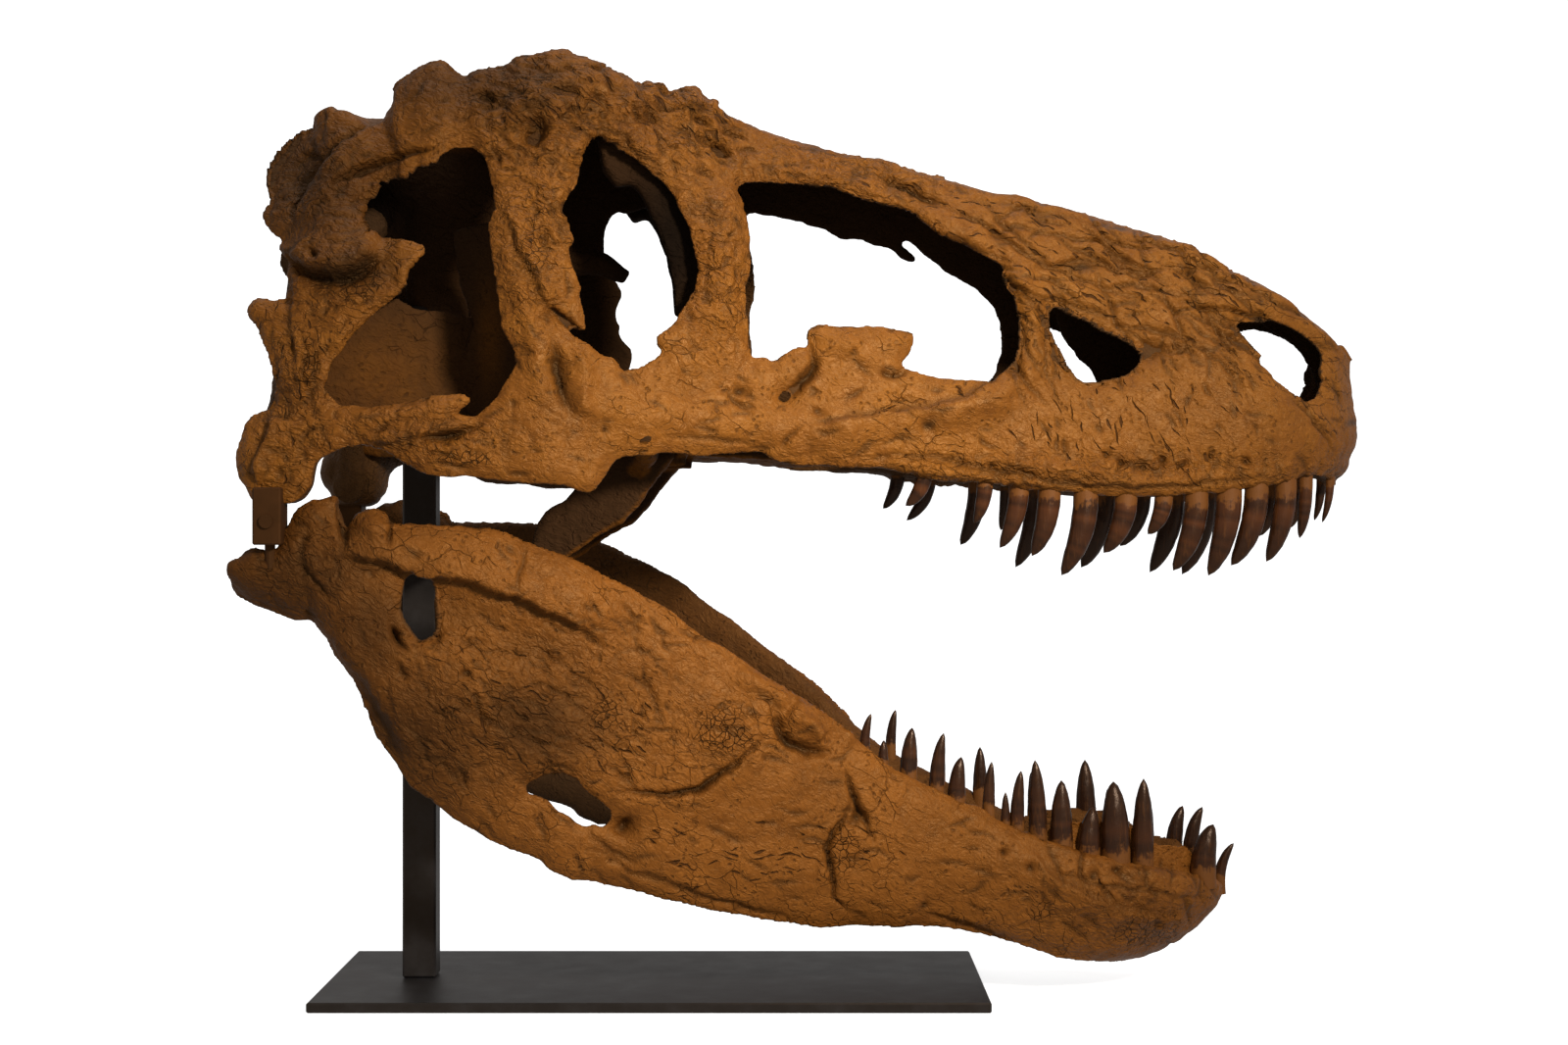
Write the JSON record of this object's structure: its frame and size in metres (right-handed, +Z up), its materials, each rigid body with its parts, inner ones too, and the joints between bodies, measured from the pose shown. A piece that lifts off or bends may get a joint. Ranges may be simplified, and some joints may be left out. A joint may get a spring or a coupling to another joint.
{
  "type": "daspletosaurus skull on a stand",
  "caption": "Open-mouthed tyrannosaur skull with lower jaws and curved teeth, on a steel post and base plate.",
  "frame": {"origin": "centre of the base plate's underside", "axes": "+X towards the tip of the snout, +Y to the animal's left, +Z up"},
  "size_m": [1.0993, 0.492, 0.9249],
  "materials": {
    "bone": "cast fossil bone, ochre brown, rough, with dark cracks and a waxy glint",
    "tooth": "dark brown enamel, glossy, ochre round the necks",
    "bracket": "steel plate painted the brown of the bone",
    "steel": "satin black paint"
  },
  "bodies": {
    "root": {"cranium": "bone", "mandible_right": "bone", "mandible_left": "bone", "bracket_right": "bracket", "bracket_left": "bracket", "base_plate": "steel", "post": "steel", "saddle": "steel", "jaw_crossbar": "steel", "upper_tooth_right_01": "tooth", "upper_tooth_right_02": "tooth", "upper_tooth_right_03": "tooth", "upper_tooth_right_04": "tooth", "upper_tooth_right_05": "tooth", "upper_tooth_right_06": "tooth", "upper_tooth_right_07": "tooth", "upper_tooth_right_08": "tooth", "upper_tooth_right_09": "tooth", "upper_tooth_right_10": "tooth", "upper_tooth_right_11": "tooth", "upper_tooth_right_12": "tooth", "upper_tooth_right_13": "tooth", "upper_tooth_left_01": "tooth", "upper_tooth_left_02": "tooth", "upper_tooth_left_03": "tooth", "upper_tooth_left_04": "tooth", "upper_tooth_left_05": "tooth", "upper_tooth_left_06": "tooth", "upper_tooth_left_07": "tooth", "upper_tooth_left_08": "tooth", "upper_tooth_left_09": "tooth", "upper_tooth_left_10": "tooth", "upper_tooth_left_11": "tooth", "upper_tooth_left_12": "tooth", "lower_tooth_right_01": "tooth", "lower_tooth_right_02": "tooth", "lower_tooth_right_03": "tooth", "lower_tooth_right_04": "tooth", "lower_tooth_right_05": "tooth", "lower_tooth_right_06": "tooth", "lower_tooth_right_07": "tooth", "lower_tooth_right_08": "tooth", "lower_tooth_right_09": "tooth", "lower_tooth_right_10": "tooth", "lower_tooth_right_11": "tooth", "lower_tooth_right_12": "tooth", "lower_tooth_right_13": "tooth", "lower_tooth_right_14": "tooth", "lower_tooth_right_15": "tooth", "lower_tooth_left_01": "tooth", "lower_tooth_left_02": "tooth", "lower_tooth_left_03": "tooth", "lower_tooth_left_04": "tooth", "lower_tooth_left_05": "tooth", "lower_tooth_left_06": "tooth", "lower_tooth_left_07": "tooth", "lower_tooth_left_08": "tooth", "lower_tooth_left_09": "tooth", "lower_tooth_left_10": "tooth", "lower_tooth_left_11": "tooth"}
  },
  "joints": []
}
